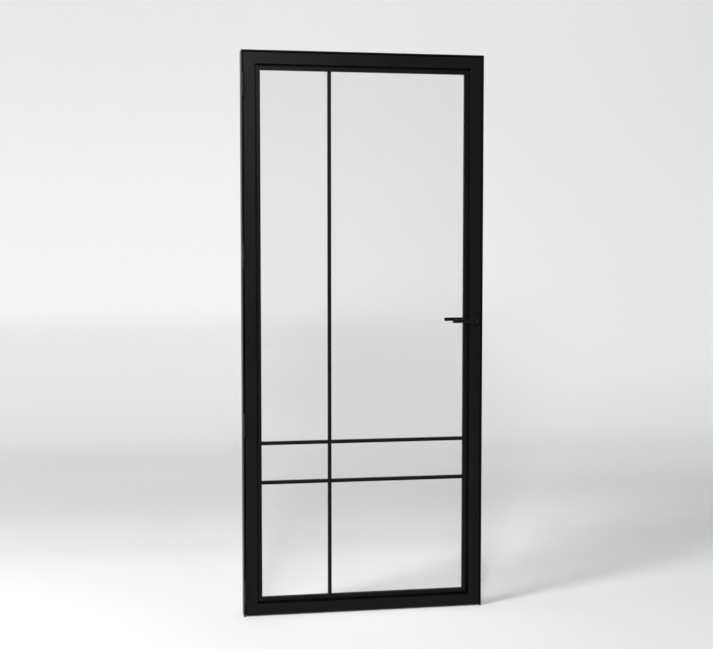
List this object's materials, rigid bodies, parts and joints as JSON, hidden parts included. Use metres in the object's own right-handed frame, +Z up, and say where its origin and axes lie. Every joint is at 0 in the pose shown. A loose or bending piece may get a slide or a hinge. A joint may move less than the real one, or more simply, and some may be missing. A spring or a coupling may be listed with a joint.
{
  "type": "steel interior door",
  "caption": "Slim black steel interior door in its steel frame, clear glass with one upright and two level bars, barrel hinges, lever handles and a magnetic latch.",
  "frame": {"origin": "on the floor, midway between the jambs, in the middle of the leaf's thickness", "axes": "+Z up, +X from the hinge side to the lock side, -Y towards the side the leaf opens to"},
  "size_m": [0.87, 0.143, 2],
  "materials": {
    "door_coat": "matt black powder coat",
    "hinge_coat": "black powder coat on the welded barrels",
    "lever_coat": "satin black coat",
    "glass": "clear laminated pane",
    "seal_rubber": "black rubber",
    "glazing_tape": "black foam tape",
    "black_nylon": "black nylon",
    "block_plastic": "dark packing plastic",
    "bright_steel": "bright zinc plated",
    "zinc_steel": "zinc plated sheet",
    "stainless": "brushed stainless",
    "nickel": "nickel plated magnet",
    "black_steel": "blackened screws"
  },
  "bodies": {
    "frame": {"frame_hinge_jamb": "door_coat", "frame_lock_jamb": "door_coat", "frame_head": "door_coat", "seal_hinge_side": "seal_rubber", "seal_head": "seal_rubber", "seal_lock_side": "seal_rubber", "strike_plate": "stainless", "strike_box": "black_nylon", "strike_magnet": "nickel", "strike_screws": "bright_steel", "hinge_pins": "bright_steel", "hinge_washers": "black_nylon", "hinge_1_frame_knuckle": "hinge_coat", "hinge_2_frame_knuckle": "hinge_coat", "hinge_3_frame_knuckle": "hinge_coat", "hinge_4_frame_knuckle": "hinge_coat"},
    "leaf": {"back_bar_lower_long": "door_coat", "back_bar_lower_short": "door_coat", "back_bar_upper_long": "door_coat", "back_bar_upper_short": "door_coat", "back_bar_vertical": "door_coat", "back_bead_bottom": "door_coat", "back_bead_hinge": "door_coat", "back_bead_lock": "door_coat", "back_bead_top": "door_coat", "back_glazing_tape": "glazing_tape", "bead_screws": "black_steel", "forend_screws": "bright_steel", "front_bar_lower_long": "door_coat", "front_bar_lower_short": "door_coat", "front_bar_upper_long": "door_coat", "front_bar_upper_short": "door_coat", "front_bar_vertical": "door_coat", "front_bead_bottom": "door_coat", "front_bead_hinge": "door_coat", "front_bead_lock": "door_coat", "front_bead_top": "door_coat", "front_glazing_tape": "glazing_tape", "glass_pane": "glass", "hinge_1_leaf_knuckle": "hinge_coat", "hinge_2_leaf_knuckle": "hinge_coat", "hinge_3_leaf_knuckle": "hinge_coat", "hinge_4_leaf_knuckle": "hinge_coat", "leaf_bottom_rail": "door_coat", "leaf_hinge_stile": "door_coat", "leaf_lock_stile": "door_coat", "leaf_top_rail": "door_coat", "lever_bushes": "black_nylon", "lock_case": "zinc_steel", "lock_cover": "zinc_steel", "lock_forend": "stainless", "lock_mounting_tabs": "zinc_steel", "setting_blocks": "block_plastic"},
    "handle": {"lever_front": "lever_coat", "lever_back": "lever_coat", "spindle": "bright_steel", "follower": "zinc_steel", "grub_screws": "bright_steel"},
    "latch": {"latch_bolt": "stainless"}
  },
  "joints": [
    {"name": "leaf_swing", "type": "hinge", "parent": "frame", "child": "leaf", "pos_m": [-0.43, -0.0305, 0], "axis": [0, 0, -1], "range_deg": [0, 170]},
    {"name": "handle_turn", "type": "hinge", "parent": "leaf", "child": "handle", "pos_m": [0.402, 0, 1.05], "axis": [0, -1, 0], "range_deg": [0, 40], "stiffness_Nm_per_rad": 1.5, "springref_deg": -20.05},
    {"name": "latch_slide", "type": "slide", "parent": "leaf", "child": "latch", "axis": [1, 0, 0], "range_m": [0, 0.01], "stiffness_N_per_m": 50}
  ]
}
